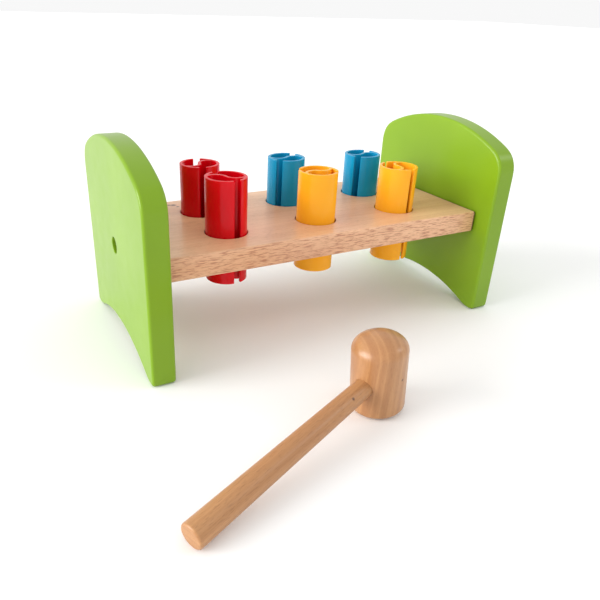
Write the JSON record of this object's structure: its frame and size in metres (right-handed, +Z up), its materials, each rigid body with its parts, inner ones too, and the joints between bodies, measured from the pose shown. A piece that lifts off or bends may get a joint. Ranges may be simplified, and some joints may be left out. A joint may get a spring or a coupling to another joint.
{
  "type": "toy workbench",
  "caption": "Wooden pounding bench for small children: a drilled plank between two arched painted boards, split plastic pegs that slide through it, and a domed mallet.",
  "frame": {"origin": "on the floor, at the middle of the footprint of the whole set, bench and mallet", "axes": "+X along the plank to the bench's right end, +Y from the mallet to the bench's back, +Z up"},
  "size_m": [0.2722, 0.2424, 0.125],
  "materials": {
    "green_paint": "satin painted",
    "beech": "sanded, clear matt lacquer",
    "varnished_beech": "varnished",
    "red_plastic": "moulded, glossy",
    "yellow_plastic": "moulded, glossy",
    "blue_plastic": "moulded, glossy",
    "zinc_steel": "zinc plated"
  },
  "bodies": {
    "bench": {"end_panel_left": "green_paint", "end_panel_right": "green_paint", "plank": "beech", "screw_left": "zinc_steel", "screw_right": "zinc_steel", "dowel_left_front": "beech", "dowel_left_back": "beech", "dowel_right_front": "beech", "dowel_right_back": "beech"},
    "peg_red_front": {"peg_red_front": "red_plastic"},
    "peg_red_back": {"peg_red_back": "red_plastic"},
    "peg_yellow_middle": {"peg_yellow_middle": "yellow_plastic"},
    "peg_yellow_right": {"peg_yellow_right": "yellow_plastic"},
    "peg_blue_middle": {"peg_blue_middle": "blue_plastic"},
    "peg_blue_right": {"peg_blue_right": "blue_plastic"},
    "mallet": {"mallet_head": "varnished_beech", "mallet_handle": "varnished_beech"}
  },
  "joints": [
    {"name": "peg_red_front_slide", "type": "slide", "parent": "bench", "child": "peg_red_front", "axis": [0, 0, 1], "range_m": [-0.0335, 0.0153]},
    {"name": "peg_red_back_slide", "type": "slide", "parent": "bench", "child": "peg_red_back", "axis": [0, 0, 1], "range_m": [-0.0316, 0.0172]},
    {"name": "peg_yellow_middle_slide", "type": "slide", "parent": "bench", "child": "peg_yellow_middle", "axis": [0, 0, 1], "range_m": [-0.0313, 0.0175]},
    {"name": "peg_yellow_right_slide", "type": "slide", "parent": "bench", "child": "peg_yellow_right", "axis": [0, 0, 1], "range_m": [-0.0289, 0.0199]},
    {"name": "peg_blue_middle_slide", "type": "slide", "parent": "bench", "child": "peg_blue_middle", "axis": [0, 0, 1], "range_m": [-0.0305, 0.0183]},
    {"name": "peg_blue_right_slide", "type": "slide", "parent": "bench", "child": "peg_blue_right", "axis": [0, 0, 1], "range_m": [-0.0281, 0.0207]},
    {"name": "mallet_lift", "type": "slide", "parent": "bench", "child": "mallet", "axis": [0, 0, 1], "range_m": [0, 0.15]}
  ]
}
